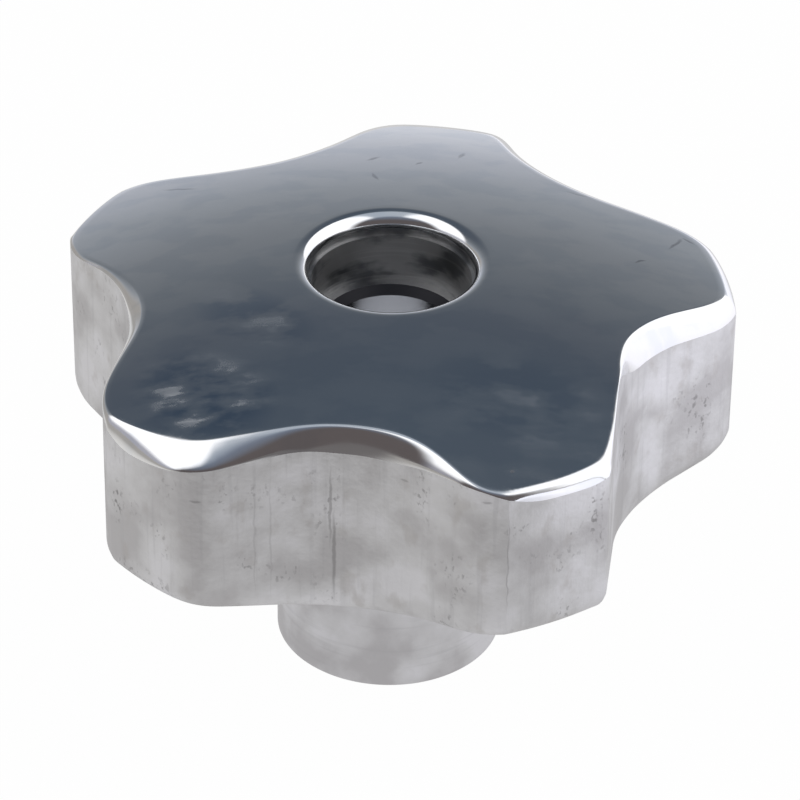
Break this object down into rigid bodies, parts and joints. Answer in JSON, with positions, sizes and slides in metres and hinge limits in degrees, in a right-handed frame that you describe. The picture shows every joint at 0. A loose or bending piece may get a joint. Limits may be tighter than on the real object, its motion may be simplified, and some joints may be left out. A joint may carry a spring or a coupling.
{
  "type": "star knob",
  "caption": "Star knob cast in one piece, with broad rounded lobes, a crowned polished top, a plain round hub below and a stepped bore right through.",
  "frame": {"origin": "on the bore axis, in the plane of the hub's end face", "axes": "+Z along the bore axis from the hub towards the crown, +X through the middle of one lobe"},
  "size_m": [0.0946, 0.0986, 0.0645],
  "materials": {
    "cast_aluminium": "mirror-polished crown and bore rim, satin cast walls with turned lobe ends and hub, turned bore"
  },
  "bodies": {
    "root": {"knob_body": "cast_aluminium"}
  },
  "joints": []
}
